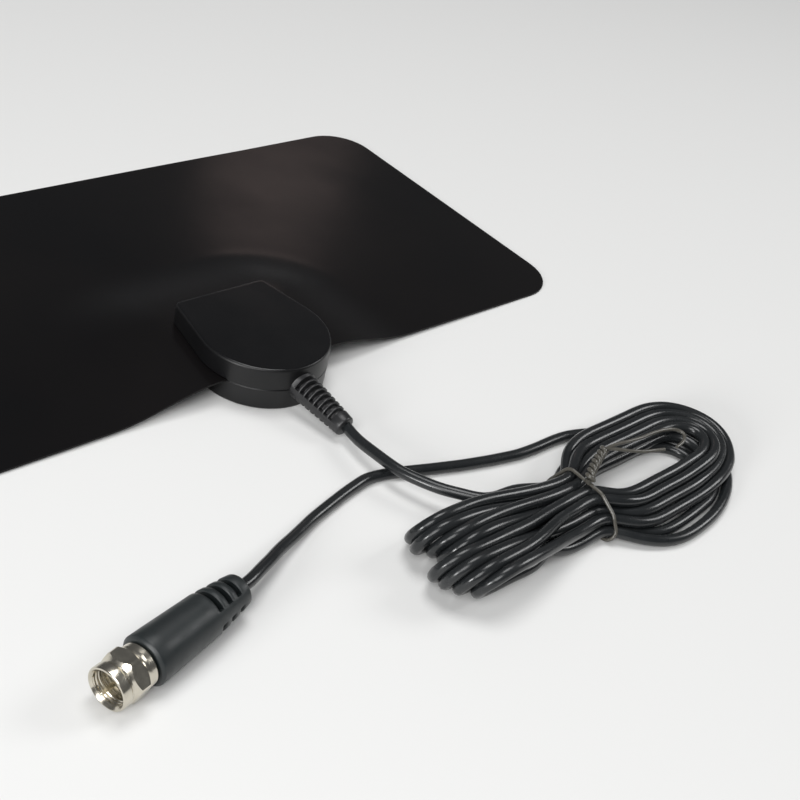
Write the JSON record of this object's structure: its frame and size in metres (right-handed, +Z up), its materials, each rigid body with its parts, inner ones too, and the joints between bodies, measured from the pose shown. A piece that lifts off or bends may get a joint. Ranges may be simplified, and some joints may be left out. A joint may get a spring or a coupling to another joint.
{
  "type": "indoor tv antenna",
  "caption": "Thin flat indoor TV antenna panel clamped by a small housing, with a tied coaxial lead that ends in a screw-on plug.",
  "frame": {"origin": "on the table, under the middle of the box round panel and housing, the lead's pieces left out", "axes": "+X along the panel's long side, +Y from the housing's nose towards the panel's far edge, +Z up"},
  "size_m": [0.25, 0.229, 0.0146],
  "materials": {
    "panel_film": "gloss",
    "foil": "satin",
    "housing": "gloss top, satin sides",
    "circuit_board": "satin",
    "ferrite": "matte",
    "enamelled_wire": "gloss",
    "chip": "matte",
    "tinned_metal": "satin",
    "lead_jacket": "gloss",
    "insulator": "satin",
    "bare_copper": "satin",
    "relief_rubber": "satin",
    "tie_wire": "satin",
    "boot_rubber": "satin",
    "nickel": "polished"
  },
  "bodies": {
    "antenna": {"front_film": "panel_film", "back_film": "panel_film", "foil_left": "foil", "foil_right": "foil", "upper_shell": "housing", "lower_shell": "housing", "matching_board": "circuit_board", "balun_core": "ferrite", "balun_winding": "enamelled_wire", "chip_capacitors": "chip", "contact_rivet_left": "tinned_metal", "contact_rivet_right": "tinned_metal", "lead_jacket_end": "lead_jacket", "lead_insulator": "insulator", "inner_conductor": "bare_copper", "braid_pigtail": "tinned_metal", "cable_crimp": "tinned_metal", "strain_relief": "relief_rubber", "cord_lead": "lead_jacket", "cord_hank": "lead_jacket", "cord_tail": "lead_jacket", "wire_tie": "tie_wire", "connector_boot": "boot_rubber", "crimp_ferrule": "tinned_metal", "connector_sleeve": "nickel", "connector_insulator": "insulator", "centre_pin": "bare_copper"},
    "nut": {"coupling_nut": "nickel"}
  },
  "joints": [
    {"name": "nut_turn", "type": "hinge", "parent": "antenna", "child": "nut", "pos_m": [-0.1014, -0.1288, 0.0063], "axis": [0.9744, 0.225, 0], "continuous": true}
  ]
}
